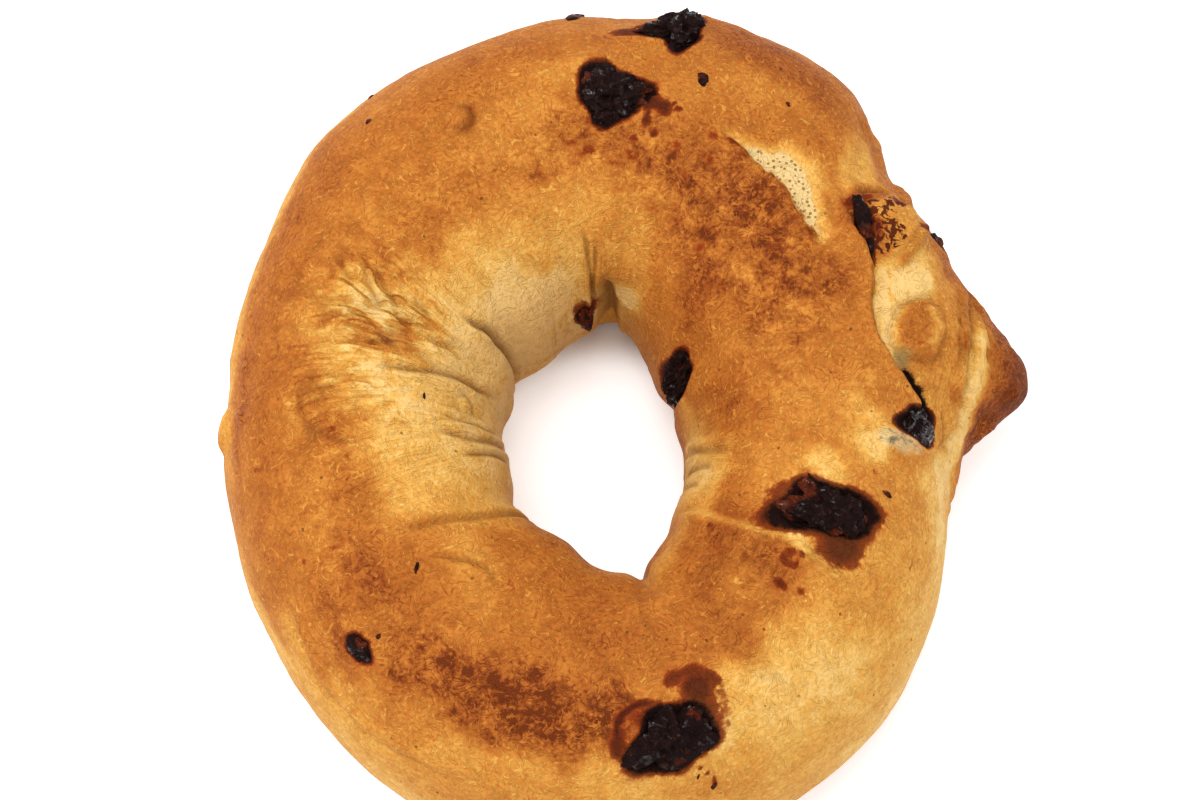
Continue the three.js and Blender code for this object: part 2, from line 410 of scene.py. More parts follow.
# Juice stains: (angle, rise, half along the ring, half over the section, strength from 0 to 1).
STAINS = (
    (316, 92, 1.2, 1.3, 0.8), (310, 89.5, 0.9, 1.5, 1.0), (312, 82, 0.7, 0.9, 0.8),
    (338, 64, 0.7, 1.1, 0.8), (341, 71, 0.7, 0.5, 0.7), (319, 112, 0.6, 0.6, 0.6),
    (330, 44, 1.2, 0.6, 0.6), (324, 77, 3.6, 4.2, 1.15), (332, 68, 2.2, 1.8, 0.7),
    (327, 104, 2.8, 3.2, 0.75), (286.8, 77, 3.0, 3.0, 1.15), (288, 68, 2.0, 4.4, 0.80),
    (277, 73, 2.6, 2.6, 0.7), (273.5, 64, 1.6, 3.6, 0.85), (80, 90, 2.8, 1.5, 1.1),
    (77, 92, 1.3, 0.9, 1.1), (80, 96, 1.0, 1.4, 1.0), (78, 100, 0.7, 0.9, 0.9), (82, 103, 0.9, 0.8, 0.9),
    (74.5, 90, 0.9, 0.7, 1.0), (80, 85, 1.2, 1.0, 0.6), (92, 108, 2.0, 1.4, 0.62),
    (86, 113, 1.6, 1.1, 0.6), (82, 109, 1.5, 1.5, 0.6), (96, 104, 1.4, 1.1, 0.6), (66, 93, 2.0, 0.9, 0.75),
    (62, 91.5, 1.6, 0.7, 0.9), (65, 100, 2.4, 0.9, 0.6), (56, 124, 1.3, 1.3, 0.6), (86, 58, 2.6, 1.4, 1.0),
    (229, 55, 2.0, 2.4, 0.8), (226, 63, 0.5, 0.5, 0.9), (34.5, 52, 1.5, 1.5, 0.95),
    (34.5, 58, 0.9, 0.9, 0.8), (29, 46, 1.1, 1.5, 1.0), (32, 67.5, 3.4, 2.2, 0.7), (38, 69, 1.2, 2.6, 0.9),
    (37.5, 63, 0.9, 2.0, 0.8), (30, 160, 3.0, 3.0, 0.7), (98, 168, 3.0, 3.0, 0.75),
    (102, 166, 1.0, 1.4, 0.7), (101, 172, 0.8, 1.4, 0.8), (214, 70, 0.5, 1.6, 0.8),
    (212, 55, 1.2, 0.9, 0.6), (191, 82, 0.6, 1.2, 0.8), (198, 86, 1.0, 1.0, 0.5), (40, 103, 1.2, 1.2, 0.5),
    (44, 98, 0.9, 1.2, 0.5), (113, 79, 0.7, 0.6, 0.8), (44, 78, 0.8, 0.9, 0.5), (59, 93, 1.2, 0.5, 0.8),
    (73, 101, 1.6, 1.0, 0.6), (69, 108, 1.3, 1.1, 0.5),
)

# Thin dark rings and arms of juice: (places, half width in mm, strength).
JUICE_LINES = (
    (((280.5, 80), (283, 83), (286, 84), (288.5, 82), (290, 77), (290.5, 73)), 0.9, 0.85),
    (((290, 78), (290.5, 71), (290, 63), (288.5, 56)), 0.9, 0.5),
    (((274, 55), (272.8, 62), (273, 69), (274.5, 75), (277.5, 77), (281, 74)), 0.5, 1.1),
    (((284, 50), (285, 45), (286, 40), (286.5, 34)), 0.25, 0.8),
    (((316, 95), (314, 93), (314.5, 89), (317, 88), (318, 91)), 0.45, 0.8),
    (((88, 59), (85, 60), (82, 57)), 0.4, 1.0),
    (((83, 89), (80, 91.5), (77, 90), (74.5, 88.5)), 0.5, 1.2),
    (((81, 91), (80, 94), (80.5, 98)), 0.4, 1.0),
    (((324, 100), (322, 102), (320, 106)), 0.7, 1.3),
)

# How far the crust is baked, from 0 to 1, inside ovals: (angle, rise, half round, half over, bake).
# The pale bake on the hole's wall is partly painted light, lighter where the lamps leave the wall darker.
BAKED = (
    (180, 270, 400, 62, 0.74), (110, 58, 62, 40, 0.59), (178, 42, 54, 46, 0.68), (118, 60, 30, 10, 0.69),
    (216, 36, 22, 26, 0.56), (205, 52, 18, 14, 0.70), (228, 46, 10, 10, 0.66), (262, 36, 36, 27, 0.30),
    (305, 36, 36, 42, 0.28), (304, 52, 15, 30, 0.12), (333, 80, 24, 30, 0.42), (350, 80, 8, 12, 0.22),
    (300, -10, 70, 30, 0.30), (320, 18, 32, 20, 0.21), (226, 4, 28, 18, 0.14), (150, 16, 40, 18, 0.28),
    (112, 152, 34, 36, 0.24), (150, 146, 30, 40, 0.13), (197, 136, 36, 40, 0.17), (188, 112, 26, 20, 0.19),
    (168, 84, 15, 15, 0.36), (178, 97, 9, 14, 0.16), (150, 176, 76, 26, 0.06), (150, 206, 100, 22, 0.20),
    (258, 120, 32, 36, 0.67), (268, 150, 30, 28, 0.66), (307, 114, 15, 34, 0.72), (288, 142, 7, 14, 0.38),
    (335, 153, 26, 22, 0.13), (4, 124, 28, 38, 0.56), (350, 112, 12, 28, 0.54), (50, 150, 36, 24, 0.62),
    (80, 152, 9, 22, 0.40), (44, 66, 18, 22, 0.56), (60, 72, 14, 26, 0.60), (44, 108, 40, 23, 0.80),
    (18, 112, 10, 12, 0.62), (96, 102, 16, 13, 0.74), (122, 98, 24, 11, 0.62), (196, 74, 22, 10, 0.68),
    (44, 53, 4, 13, 0.25), (349, 34, 8, 13, 0.08), (348, 74, 5, 7, 0.06), (337, 92, 5, 7, 0.14),
    (24, 28, 6, 9, 0.66),
)

# How much lighter (less than 0) or darker places are than those ovals leave them, in the same terms.
# Partly real bake and partly painted light: those on the hole's wall lighten it where the lamps leave it
# darker, and some on the front of the outer side darken it where the lamps leave it lighter.
BAKE_SHIFTS = (
    (5, 166, 12, 9, -0.17), (3, 136, 11, 9, 0.17), (0, 105, 8, 9, -0.13), (12, 31, 6, 5, 0.16),
    (12, 15, 6, 8, -0.12), (24, 75, 5, 5, -0.10), (24, 30, 5, 6, 0.22), (37, 72, 3, 5, 0.22),
    (36, 120, 10, 8, -0.10), (36, 45, 5, 6, -0.10), (48, 136, 9, 8, 0.16), (48, 75, 6, 6, -0.15),
    (66, 48, 14, 10, 0.17), (78, 162, 11, 9, -0.22), (72, 120, 10, 8, -0.10), (97, 84, 8, 11, -0.13),
    (108, 90, 8, 8, -0.08), (112, 152, 12, 9, -0.12), (130, 152, 18, 12, -0.17), (132, 138, 12, 8, -0.06),
    (110, 130, 10, 9, 0.14), (120, 119, 8, 6, 0.08), (156, 120, 9, 9, -0.13), (156, 90, 9, 7, 0.12),
    (156, 66, 10, 12, -0.06), (168, 135, 9, 9, -0.09), (168, 90, 7, 7, -0.14), (182, 74, 9, 7, -0.10),
    (180, 32, 8, 8, 0.16), (192, 66, 10, 10, -0.08), (196, 150, 12, 15, -0.14), (204, 60, 9, 12, -0.06),
    (230, 128, 8, 28, -0.20), (241, 105, 7, 12, -0.15), (241, 143, 7, 14, -0.14), (228, 46, 7, 6, 0.26),
    (240, 50, 7, 8, 0.18), (228, 29, 8, 6, -0.08), (252, 57, 6, 6, 0.13), (252, 30, 8, 8, 0.09),
    (276, 150, 8, 8, -0.12), (288, 118, 6, 9, -0.07), (288, 38, 7, 10, 0.14), (300, 150, 8, 9, -0.18),
    (300, 76, 6, 8, -0.12), (312, 120, 7, 8, 0.16), (312, 76, 7, 7, -0.08), (312, 0, 10, 8, -0.12),
    (330, 15, 14, 10, -0.07), (346, 15, 7, 10, -0.13), (348, 38, 6, 9, -0.10), (337, 90, 6, 8, 0.04),
    (348, 160, 8, 12, -0.11), (350, 127, 8, 11, 0.18), (250, 14, 45, 26, 0.08), (312, 32, 18, 18, 0.05),
    (190, 92, 9, 8, 0.12), (212, 76, 10, 9, 0.05), (227, 0, 12, 10, 0.06), (88, 135, 9, 8, 0.12),
    (160, 120, 8, 8, -0.08), (168, 104, 8, 7, -0.12), (144, 150, 7, 8, -0.10), (312, 150, 7, 9, 0.10),
    (324, 120, 7, 8, 0.07), (0, 60, 6, 7, 0.08), (216, 24, 8, 10, 0.10), (226, 84, 9, 8, 0.08),
    (260, 43, 9, 8, 0.07), (261, 116, 9, 9, 0.05), (334, 34, 8, 8, 0.04), (62, 48, 9, 9, 0.06),
    (240, 78, 5, 6, -0.12), (257, 77, 6, 6, 0.12), (200, 84, 8, 7, -0.06), (80, 166, 9, 12, -0.12),
    (12, 165, 8, 8, -0.10), (40, 110, 8, 9, 0.10), (216, 60, 7, 7, -0.08), (285, 100, 16, 18, 0.06),
    (312, 90, 6, 8, 0.06), (24, 45, 6, 6, 0.07), (180, 90, 6, 7, 0.07), (168, 92, 5, 7, -0.12),
    (204, 72, 6, 6, -0.10), (104, 107, 7, 6, -0.10),
)

# How far the hole's wall is pushed in, in mm, anticlockwise from +X at every fifteen degrees.
HOLE_PUSH = (
    0.3, 1.3, 1.0, 2.0, 1.2, 0.9, 2.4, 1.8, 0.9, 0.3, 0.7, -0.4,
    -0.4, 0.4, 0.5, -0.8, 0.2, 2.1, 1.1, 0.9, 0.7, 1.1, 0.2, 0.3,
)


def hole_push(angle, rise):
    """How far the hole's wall is pushed in at an angle in radians and a rise in degrees."""
    return round_the_ring(HOLE_PUSH, angle) * ramp(100, 148, rise) * ramp(250, 215, rise)


# How far the outer side is pushed out: (angle, rise, half round, half over, push in mm).
OUTER_PUSHES = (
    (40, 20, 7, 38, -1.9), (-3, 8, 4, 26, 1.3), (5, 8, 3, 22, -0.3), (62, 20, 10, 30, 0.3),
    (49, 20, 7, 30, 0.6), (75, 30, 5, 16, 0.7), (145, 20, 8, 30, -0.4), (176, 15, 8, 30, -0.6),
    (215, 15, 5, 30, -0.5), (15, 12, 4, 20, -0.8), (97, 20, 5, 30, 0.4), (85, 25, 4, 20, -0.5),
)


def uneven_outlines(crust):
    """The uneven outline of the hole and of the ring's outer side, pushed in and out along the crust."""
    crust.lift += hole_push(crust.angle, np.degrees(crust.rise))
    for angle, rise, half_angle, half_rise, push in OUTER_PUSHES:
        crust.lift += push * crust.patch(angle, rise, half_angle, half_rise, 0.8)


def uneven_dough(crust):
    """Uneven dough: broad lumps all over, and fainter ones of a few millimetres."""
    crust.lift += 0.55 * lumps(crust.plain, 24, 1, 2)
    crust.lift += 0.20 * lumps(crust.plain, 6.5, 2, 3)


def pulled_strands(crust):
    """Stretch wrinkles across the rope on the hole's left: crests of noise drawn out over the section."""
    drift = 0.9 * lumps(crust.plain, 9, 13, 2)
    drawn = np.stack([crust.angle * 38 + drift, crust.rise * 2.8, 0 * crust.rise], axis=-1)
    strands = crest(lumps(drawn, 2.2, 11, 3), 2.4)
    left = np.maximum(crust.patch(180, 126, 28, 46), 0.35 * crust.patch(120, 150, 52, 40))
    left = np.maximum(left, 0.55 * crust.patch(338, 155, 26, 30))
    crust.lift += 0.20 * left * (strands - 0.4)
    # Painted shade in the hollows between the strands.
    crust.raise_tone("fold", 0.22 * left * ramp(0.2, -0.4, strands))
    crust.bake(0.25 * left * ramp(0.5, 0.95, strands), 0.05)


STREAK_START = 272  # degrees: where the count round the ring starts, at a place without streaks


def drawn_skin(crust):
    """How the skin was drawn: two lengths in mm, across and along its fine streaks, and how firm they are.

    The streaks run over the section on the hole's left side and at its right wall, and along the ring on
    the outer side; the firmness falls to nothing between the two kinds.
    """
    drift = 1.5 * lumps(crust.plain, 7, 15, 2)
    over = np.maximum(0.8 * crust.patch(176, 112, 36, 46), 0.35 * crust.patch(120, 150, 52, 40))
    over = np.maximum(over, 0.6 * crust.patch(338, 150, 26, 36))
    ring = np.maximum(0.6 * crust.patch(8, 38, 22, 18), 0.35 * crust.patch(322, 25, 34, 30))
    ring = np.maximum(ring, 0.4 * crust.patch(232, 28, 27, 26))
    ring = np.maximum(ring, 0.4 * crust.patch(140, 36, 44, 26))
    ring = np.maximum(ring, 0.8 * crust.patch(306, 106, 12, 24))
    along_ring = ring > over
    angle = np.mod(crust.angle - math.radians(STREAK_START), 2 * math.pi)
    crust.tone("streak_across")[...] = np.where(along_ring, crust.rise * 20 + drift, angle * 36 + drift)
    crust.tone("streak_along")[...] = np.where(along_ring, angle * 50, crust.rise * 20)
    crust.tone("streak")[...] = np.abs(ring - over)


def curled_wrinkles(crust):
    """Fine curled wrinkles all over, firmer where the crust baked darker."""
    folded = crest(lumps(crust.plain, 2.6, 21, 2), 2)
    firm = np.maximum(crust.patch(180, 70, 60, 45), 0.8 * crust.patch(45, 110, 55, 34))
    firm = np.maximum(firm, 0.6 * crust.patch(260, 100, 50, 40))
    crust.lift += (0.05 + 0.09 * firm) * (folded - 0.5)


def swirled_skin(crust):
    """Swirls in the skin at the left: a sine of smooth noise, whose crests close into rings and hooks."""
    swirl = np.sin(13 * lumps(crust.plain, 7.5, 71, 2))
    here = np.maximum(crust.patch(187, 76, 15, 13), 0.5 * crust.patch(150, 70, 22, 16))
    here = np.maximum(here, 0.35 * crust.patch(45, 108, 40, 20))
    here = np.maximum(here, 0.45 * crust.patch(304, 108, 12, 26))
    crust.lift += 0.24 * here * swirl
    # Painted shade in the swirls' troughs.
    crust.raise_tone("fold", 0.6 * here * ramp(0.55, 1.0, -swirl))
    crust.bake(0.4 * here * ramp(0.5, 1.0, swirl), 0.38)


def pinched_dough(crust):
    """Dough crumpled where it was pinched: sharp brown crests between pale hollows."""
    drift = 1.6 * lumps(crust.plain, 5, 43, 2)
    drawn = np.stack([crust.angle * 38 + drift, crust.rise * 10 + drift, 0 * crust.rise], axis=-1)
    crests = crest(lumps(drawn, 4.0, 41, 3), 2.6)
    here = crust.patch(159, 98, 12, 22, 0.6)
    crust.raise_tone("pinch", np.maximum(here, 0.6 * crust.patch(172, 92, 14, 24, 0.6)))
    crust.lift += 0.6 * here * (crests - 0.4)
    crust.bake(here, 0.30 + 0.34 * ramp(0.2, 0.8, crests))
    # Painted shade in the hollows between the crests.
    crust.raise_tone("fold", 0.25 * here * ramp(0.0, -0.5, crests))
    folds = (
        ((151, 88), (154, 90), (157, 94), (160, 98)), ((152, 77), (154, 81), (156, 86)),
        ((151, 91), (154, 96), (156, 101), (158, 105)), ((154, 108), (154, 113), (156, 118)),
        ((159, 101), (160, 106), (160, 112)), ((162, 116), (162, 124), (160, 132)),
        ((165, 79), (164, 86), (162, 95)), ((170, 85), (170, 94), (168, 101), (169, 108)),
    )
    for index, places in enumerate(folds):
        crust.crease(places, 0.42, 0.5 + 0.08 * (index % 3), lips=0.6, dark=0.6)
    distance, across, share = crust.trail(((157, 92), (162, 98), (165, 104), (168, 110)), 6)
    flap = eased_ends(share, 0.2, 0.2)
    crust.lift -= 0.8 * flap * bell(across, 0.9, -0.9) * (distance < 5)
    crust.bake(0.8 * flap * bell(distance, 1.2), 0.12)
    for angle, rise in ((159, 96), (165, 102)):
        crust.raise_tone("grey", 0.3 * crust.dab(angle, rise, 1.5, 2.0, 0.4))


def crust_edge(across, outside, lip_reach, depth, drop_reach):
    """The step at an edge of crust: a lip that grows towards it and a drop beyond it that eases back.

    Both fade as exponentials of the distance across the edge, and outside goes from 0 to 1 over it.
    """
    lip = 0.5 * np.exp(-np.maximum(-across, 0) / lip_reach)
    drop = depth * np.exp(-np.maximum(across, 0) / drop_reach)
    return lip * (1 - outside) - drop * outside


def torn_crumb(crust):
    """The tear where the crown's crust ends in a lip and the pale crumb shows beside it.

    The bare crumb is widest a little past the middle of the tear and closes to nothing at its ends.
    """
    places = ((72, 90.5), (66, 90.5), (62, 90.5), (58.5, 91.5), (55, 91), (52, 89.5), (48, 89), (44, 89),
              (39, 89), (35, 89), (32, 88.5))
    distance, across, share = crust.trail(places, 13)
    close = distance < 13
    fade = close * eased_ends(share, 0.25, 0.1)
    edge = across + 0.35 * lumps(crust.plain, 1.7, 31, 2)
    crust.lift += fade * crust_edge(across, ramp(-0.2, 0.3, edge), 1.8, 1.05, 3.8)
    width = 3.6 * ramp(0.14, 0.5, share) * ramp(0, 0.45, 1 - share)
    far = edge + 0.7 * lumps(crust.plain, 2.4, 33, 2)
    bare = close * ramp(0.05, 0.35, edge) * ramp(0, 0.5, width) * (1 - ramp(width - 0.9, width + 0.7, far))
    crust.raise_tone("crumb", bare)
    crust.lift += 0.16 * bare * lumps(crust.plain, 1.2, 35, 2)
    pale = fade * ramp(0, 0.3, edge) * (1 - ramp(width + 0.2, width + 2.6, far))
    crust.bake(0.8 * pale, 0.16)
    # Painted shade along the step at the tear's lip.
    crust.raise_tone("fold", 0.35 * fade * ramp(0, 1.0, width) * bell(edge, 0.35))


def lapped_edge(crust):
    """The lap of the rope's ends: the crown's crust lies over pale stretched dough, to the dark crack."""
    places = ((42, 72), (38, 73), (34, 74), (30, 74), (26, 73), (22, 74), (18, 75.5), (14, 75.5), (10, 74),
              (7, 70), (4, 66), (2, 61), (0, 56), (-2, 52), (-4, 49))
    distance, across, share = crust.trail(places, 13)
    close = distance < 13
    fade = close * eased_ends(share, 0.2, 0.3)
    edge = across + 0.25 * lumps(crust.plain, 2.2, 37, 2)
    crust.lift += fade * crust_edge(across, ramp(-0.25, 0.4, edge), 2.4, 1.25, 4.5)
    # Painted shade along the step where the crown's crust laps over.
    crust.raise_tone("fold", 0.55 * fade * bell(edge, 0.35, 0.1))
    stretched = close * ramp(0.26, 0.32, share) * ramp(0, 0.25, 0.82 - share)
    far = across + 1.2 * lumps(crust.plain, 4, 38, 2)
    pale = stretched * ramp(-0.1, 0.4, edge) * (1 - ramp(4.5, 9.5, far))
    crust.bake(0.97 * pale, -0.04)
    crust.bake(0.95 * crust.patch(22.5, 60, 4, 12), -0.02)
    streaks = np.abs(lumps(crust.plain * [1, 0.25, 1], 1.6, 39, 2))
    crust.bake(pale * ramp(0.15, 0.0, streaks) * 0.5, 0.35)
    left = close * ramp(0.7, 0.85, share) * ramp(-7, -1, across) * ramp(0.5, -0.4, edge)
    crust.bake(0.5 * left, 0.42)


def outer_strand(crust):
    """The second thickness of rope outside the lap, and the long fold between it and the tail."""
    crust.lift += 0.9 * crust.patch(14, 50, 22, 20, 0.8)
    crust.bake(crust.patch(12, 46, 16, 20), 0.44)
    crust.bake(crust.patch(-2, 42, 10, 16), 0.42)
    places = ((27, 20), (20, 24), (16, 30), (13, 33), (10, 35), (7, 36), (4, 34), (1, 30), (-2, 26),
              (-4.5, 28), (-6.5, 33), (-8, 39))
    distance, across, share = crust.trail(places, 9)
    fade = (distance < 9) * eased_ends(share, 0.15, 0.2)
    crust.lift -= 0.8 * fade * bell(across, 0.6, 0.3)
    crust.lift += 0.55 * fade * bell(across, 1.3, -1.4)
    crust.lift += 0.30 * fade * bell(across, 0.8, 2.0)
    # Painted shade in the long fold's groove.
    crust.raise_tone("fold", 0.85 * fade * bell(distance, 0.45))
    strip = ((19, 21), (13, 29), (10, 32), (5, 31), (2, 27), (-1, 20), (-5, 17), (-9, 19), (-14, 26))
    distance, _, share = crust.trail(strip, 6)
    pale = (distance < 6) * eased_ends(share, 0.2, 0.15)
    pale = pale * (1 - ramp(1.0, 3.4, distance + 0.6 * lumps(crust.plain, 2, 45, 2)))
    crust.bake(0.95 * pale, 0.06)
    for places, width in ((((20, 33), (16, 37), (12, 40), (8, 41), (4, 41)), 0.35),
                          (((22, 19), (18, 22), (14, 25), (10, 27), (7, 27)), 0.4),
                          (((-1, 41), (-3, 37), (-6, 34), (-8, 36)), 0.35)):
        crust.crease(places, width, 0.4, dark=0.6)
    crust.bake(0.8 * crust.dab(10, 38, 1.8, 1.5), 0.72)
    crust.bake(0.8 * crust.dab(2, 37, 1.2, 1.6), 0.68)
    crust.bake(0.5 * crust.patch(13, 31, 5, 4), 0.72)


def rope_tail(crust):
    """The rope's tail: browner towards its tip, with lumps and a small nub."""
    brown = crust.patch(9, 10, 13, 19, 0.5)
    crust.bake(brown, 0.88)
    crust.bake(0.9 * crust.patch(8, 9, 10, 19, 0.6), 0.97)
    crust.lift += 0.5 * brown * lumps(crust.plain, 5, 47, 3)
    nub = crust.spot(5, 13, 1.3, 1.1)
    crust.lift += 0.8 * bell(nub, 1)
    # Painted shade in a ring round the nub's foot.
    crust.raise_tone("fold", 0.5 * bell(nub, 0.3, 1.3))


def thin_dome(crust):
    """A thin dome of dough over the fruit in the fold, with dark fruit showing through.

    It is a raised cap, the square root of one less the squared distance, with a creased upper rim and a
    curled lip at its lower side.
    """
    distance = crust.spot(31.5, 54, 5.0, 5.0)
    wobble = distance + 0.07 * lumps(crust.plain, 3, 53, 2)
    crust.lift += 1.3 * np.sqrt(np.clip(1 - wobble**2, 0, 1))
    crust.bake(0.85 * (1 - ramp(0.75, 1.1, wobble)), 0.42)
    upper_rim = ((39, 70), (39, 64), (38.5, 58), (38, 52), (37, 46), (35, 41), (33, 34), (30, 29))
    crust.crease(upper_rim, 0.42, 0.55, lips=0.6)
    # A painted shadow along the upper rim's crease.
    crust.bake(0.9 * crust.dab(37.5, 62, 1.3, 4.6), 0.84)
    curl = ((31, 42), (29, 45), (28, 50), (26, 55), (24.5, 60), (24, 66))
    distance, across, share = crust.trail(curl, 4)
    here = eased_ends(share, 0.15, 0.2)
    crust.lift += 0.7 * here * bell(distance, 0.55)
    crust.bake(here * (1 - ramp(0.3, 1.0, distance)), 0.52)
    # Painted shade along both edges of the curled lip.
    crust.raise_tone("fold", 0.6 * here * bell(np.abs(across), 0.3, 0.85))
    crust.raise_tone("speckle", 1.2 - ramp(0.6, 1.2, crust.spot(31.8, 65, 5.2, 3.2)))
    crust.raise_tone("speckle", 1.1 - ramp(0.6, 1.2, crust.spot(34.5, 54, 1.4, 2.4)))


def orange_blister(crust):
    """A low orange blister by the stretched dough, with a fine fold and painted shade round its far side."""
    distance = crust.spot(11.5, 57, 4.6, 3.7, turn=-20) + 0.20 * lumps(crust.plain, 2.6, 55, 2)
    along, over, _ = crust.near(12, 57)
    crust.lift += 1.3 * np.clip(1 - distance**2, 0, 1) ** 0.4
    crust.lift += 0.22 * (1 - ramp(0.7, 1, distance)) * np.sin(3.2 * along + 2 * lumps(crust.plain, 3, 57, 1))
    crust.lift -= 0.5 * bell(distance, 0.10, 1.07)
    crust.bake(0.95 * (1 - ramp(0.75, 1.05, distance)), 0.72)
    lighter = (1 - ramp(0.6, 1.0, distance)) * ramp(-0.5, 2.0, -over - 0.3 * along)
    crust.bake(0.8 * lighter, 0.34)
    # A ring of painted shade round the edge, darker towards one side.
    edge = bell(distance, 0.08, 1.0)
    crust.raise_tone("fold", edge * (0.25 + 0.6 * ramp(-1, 2.5, along)))
    # A painted highlight in an arc inside the edge.
    light = bell(distance, 0.13, 0.55) * ramp(-1.0, 1.5, -over)
    crust.bake(0.8 * light, 0.25)
    lower = crust.dab(6.5, 55, 1.8, 2.6, 0.5, 1.1)
    crust.lift += 0.45 * lower
    crust.bake(0.7 * lower, 0.62)


def dark_crack(crust):
    """The jagged dark crack that runs down the lap to the fruit below it, and the stains beside it."""
    places = ((4.4, 62), (3.2, 60), (2.2, 57), (1.2, 56), (0.6, 53), (-0.4, 52), (-1.4, 49.5), (-3, 48))
    distance, _, share = crust.trail(places, 4)
    jag = 0.3 * lumps(crust.plain, 1.1, 51, 2)
    slot = (1 - ramp(0.35, 1.0, distance + jag)) * ramp(0, 0.12, share)
    crust.lift -= 1.0 * slot
    crust.raise_tone("pulp", 1.25 * slot)
    crust.raise_tone("grey", 0.95 * crust.dab(5.5, 63.5, 1.9, 1.5, 0.3))
    crust.raise_tone("blue", crust.dab(349.5, 60, 2.0, 4.4, 0.2, 1.3))


# Creases down the hole's wall: (places, width, depth, lips, taper, dark), dark being the painted shade's
# strength.
HOLE_CREASES = (
    (((95, 132), (94, 144), (93, 156), (92, 170), (92, 186)), 0.42, 0.6, 0.4, 0.2, 0.7),
    (((91, 138), (91, 148), (92, 158), (90.5, 168), (88, 178)), 0.42, 0.5, 0.4, 0.2, 0.7),
    (((86, 154), (86, 164), (86, 178), (86, 198), (87, 215)), 0.8, 0.5, 0.3, 0.25, 0.8),
    (((149, 126), (147, 136), (144, 144), (141, 156), (139, 168), (138, 184), (139, 206)),
     0.5, 1.0, 0.4, 0.2, 1.0),
    (((147, 140), (140, 160), (138, 180), (139, 215)), 2.4, 0.9, 0.4, 0.2, 0.1),
    (((176, 94), (175, 106), (174, 116), (172, 126), (170, 138), (168, 152), (162, 170)),
     0.45, 0.55, 0.4, 0.2, 1.0),
    (((188, 122), (190, 132), (190, 142), (190, 152), (184, 168)), 0.4, 0.3, 0.4, 0.2, 0.7),
    (((194, 118), (197, 130), (198, 142), (195, 158), (190, 176), (188, 195)), 0.45, 0.5, 0.4, 0.2, 0.8),
    (((206, 128), (204, 150), (200, 174)), 0.4, 0.35, 0.4, 0.2, 1.0),
    (((217, 90), (221, 98), (224, 110), (230, 130), (234, 152), (238, 176)), 0.5, 0.5, 0.4, 0.2, 0.5),
    (((281, 92), (281, 108), (281, 124), (282, 136)), 0.35, 0.25, 0.4, 0.2, 0.4),
    (((284, 112), (284, 138), (284, 160), (284, 205)), 3.2, 1.6, 0.0, 0.2, 0.1),
    (((284, 128), (284, 142), (284, 160), (284, 195)), 0.9, 1.0, 0.2, 0.2, 0.25),
    (((347, 178), (343, 162), (338, 148), (337, 130)), 0.45, 0.5, 0.4, 0.2, 0.6),
    (((335, 176), (332, 158), (330, 140)), 0.4, 0.35, 0.4, 0.2, 0.6),
    (((327, 180), (324, 162), (322, 146)), 0.4, 0.35, 0.4, 0.2, 0.5),
    (((228, 96), (233, 102), (238, 107), (243, 108), (246, 104)), 0.45, 0.45, 0.4, 0.2, 0.7),
)


def folded_hole(crust):
    """Creases that run down the hole's wall, where the rope was bent into a ring."""
    for places, *shape in HOLE_CREASES:
        crust.crease(places, *shape)
    distance, _, share = crust.trail(((86, 150), (86, 170), (86, 200), (86, 225)), 9)
    notch = 2.8 * np.exp(-distance / 3.0) + 1.6 * bell(distance, 1.3)
    crust.lift -= notch * eased_ends(share, 0.35, 0.15)
    bright = crust.dab(80, 165, 0.7, 3.0, 0.5, 1.1, turn=64)
    crust.lift += 0.4 * bright
    crust.bake(0.9 * bright, 0.08)


def lower_lap(crust):
    """The orange dough in front of the hole laps over the pale dough at the left and at the large fruit."""
    places = ((216, 88), (221, 97), (224, 110), (230, 130), (234, 152), (238, 178))
    distance, across, share = crust.trail(places, 10)
    side = (distance < 10) * ramp(0, 0.3, share)
    crust.lift += 0.5 * side * ramp(0.3, -0.6, -across) * np.exp(-np.abs(across) / 3)
    places = ((309, 160), (311, 142), (312, 126), (315, 110), (318, 97), (319, 88), (320, 78), (322, 66))
    distance, across, share = crust.trail(places, 9)
    fade = (distance < 9) * eased_ends(share, 0.15, 0.2)
    crust.lift += 0.6 * fade * bell(across, 1.3, -1.0)
    crust.lift -= 0.55 * fade * bell(across, 0.5, 0.6)
    crust.bake(0.8 * fade * bell(across, 0.8), 0.20)
    crust.raise_tone("fold", 0.6 * fade * bell(across, 0.3, -0.9) * ramp(0.3, 0.5, share))


def pale_flap(crust):
    """A thin pale flap of dough pressed out from under the large fruit, and faint folds in front of it."""
    distance, _, share = crust.trail(((321, 105), (320.5, 98), (319.5, 91), (317.5, 85)), 5)
    here = eased_ends(share, 0.25, 0.2)
    crust.lift += 0.5 * here * bell(distance, 0.7)
    crust.bake(here * (1 - ramp(0.5, 1.5, distance)), 0.10)
    for places, width, depth in (
        (((294, 105), (296, 92), (298, 80), (299, 68), (301, 56)), 1.3, 0.3),
        (((314, 104), (308, 106), (302, 107)), 0.45, 0.4), (((312, 112), (306, 114), (300, 112)), 0.4, 0.3),
        (((303, 100), (307, 96), (310, 97)), 0.4, 0.35), (((298, 120), (302, 112), (303, 104)), 0.4, 0.3),
    ):
        crust.crease(places, width, depth, lips=0.7, dark=0.2)


def low_fold(crust):
    """The long uneven fold along the front of the left side, with pale dough under it."""
    places = ((214, 38), (218, 34), (222, 30), (226, 26), (231, 26), (236, 26), (242, 29), (248, 32),
              (254, 36))
    distance, across, share = crust.trail(places, 9)
    fade = (distance < 9) * eased_ends(share, 0.15, 0.3)
    wavy = across + 0.6 * lumps(crust.plain, 3, 65, 2)
    crust.lift += 0.45 * fade * bell(wavy, 1.5, 1.4)
    crust.lift -= 0.45 * fade * bell(wavy, 0.7, -0.4)
    crust.bake(0.6 * fade * ramp(0.4, -0.8, wavy) * ramp(-7, -3, wavy), 0.18)
    # Painted shade along the fold.
    crust.raise_tone("fold", 0.3 * fade * bell(wavy, 0.5))


